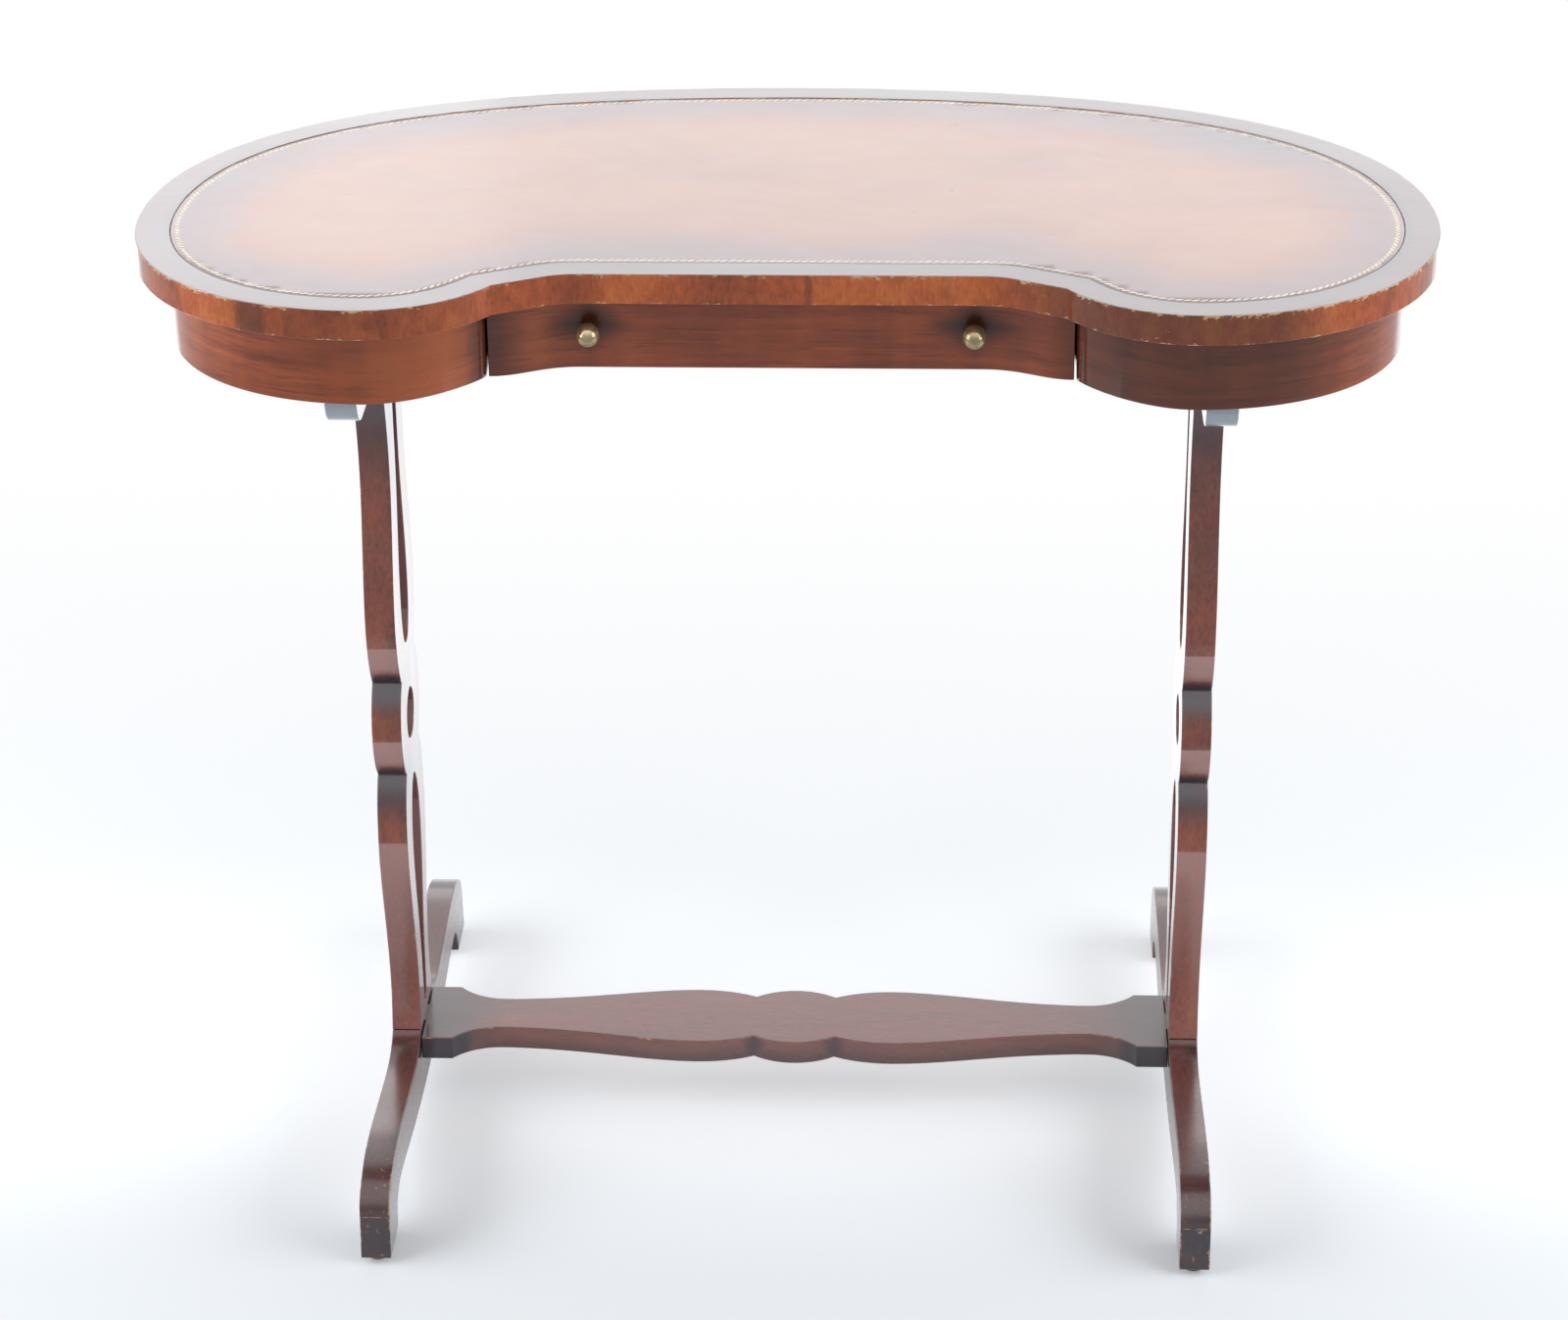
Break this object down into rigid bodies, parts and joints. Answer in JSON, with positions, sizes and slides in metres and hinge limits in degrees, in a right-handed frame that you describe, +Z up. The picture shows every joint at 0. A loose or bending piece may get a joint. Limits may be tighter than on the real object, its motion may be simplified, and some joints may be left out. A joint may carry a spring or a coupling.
{
  "type": "kidney shaped desk",
  "caption": "Kidney shaped writing desk with a leather lined top over a shaped apron and drawer, on pierced lyre boards with arched feet and a shaped flat stretcher.",
  "frame": {"origin": "on the floor, under the middle of the desk's overall width and depth", "axes": "+X to the right for a person who stands in front, -Y towards that person (the recessed side with the drawer), +Z up"},
  "size_m": [0.9, 0.495, 0.74],
  "materials": {
    "mahogany": "polished",
    "dark_mahogany": "polished",
    "rim_veneer": "polished",
    "inside_wood": "unfinished",
    "leather": "polished, worn",
    "antique_brass": "aged, burnished",
    "screw_steel": "plain",
    "glide_brown": "matte"
  },
  "bodies": {
    "desk": {"apron_back": "mahogany", "apron_left": "mahogany", "apron_right": "mahogany", "cleat_screw_left_back": "screw_steel", "cleat_screw_left_front": "screw_steel", "cleat_screw_right_back": "screw_steel", "cleat_screw_right_front": "screw_steel", "drawer_partition_left": "inside_wood", "drawer_partition_right": "inside_wood", "drawer_runner_left": "inside_wood", "drawer_runner_right": "inside_wood", "drawer_stop_left": "inside_wood", "drawer_stop_right": "inside_wood", "foot_dowel_left_back": "inside_wood", "foot_dowel_left_front": "inside_wood", "foot_dowel_right_back": "inside_wood", "foot_dowel_right_front": "inside_wood", "foot_left": "dark_mahogany", "foot_right": "dark_mahogany", "glide_left_back": "glide_brown", "glide_left_front": "glide_brown", "glide_right_back": "glide_brown", "glide_right_front": "glide_brown", "glue_block_left_1": "inside_wood", "glue_block_left_2": "inside_wood", "glue_block_left_3": "inside_wood", "glue_block_left_4": "inside_wood", "glue_block_left_5": "inside_wood", "glue_block_left_6": "inside_wood", "glue_block_right_1": "inside_wood", "glue_block_right_2": "inside_wood", "glue_block_right_3": "inside_wood", "glue_block_right_4": "inside_wood", "glue_block_right_5": "inside_wood", "glue_block_right_6": "inside_wood", "head_dowel_left_back": "inside_wood", "head_dowel_left_front": "inside_wood", "head_dowel_right_back": "inside_wood", "head_dowel_right_front": "inside_wood", "head_rail_left": "dark_mahogany", "head_rail_right": "dark_mahogany", "leather_writing_surface": "leather", "lyre_left": "dark_mahogany", "lyre_right": "dark_mahogany", "rail_cleat_left": "inside_wood", "rail_cleat_right": "inside_wood", "stretcher": "dark_mahogany", "top_core": "inside_wood", "top_rim": "rim_veneer"},
    "drawer": {"drawer_back": "inside_wood", "drawer_bottom": "inside_wood", "drawer_front": "mahogany", "drawer_side_left": "inside_wood", "drawer_side_right": "inside_wood", "knob_left": "antique_brass", "knob_right": "antique_brass", "knob_screw_left": "screw_steel", "knob_screw_right": "screw_steel"}
  },
  "joints": [
    {"name": "drawer_slide", "type": "slide", "parent": "desk", "child": "drawer", "axis": [0, -1, 0], "range_m": [0, 0.22]}
  ]
}
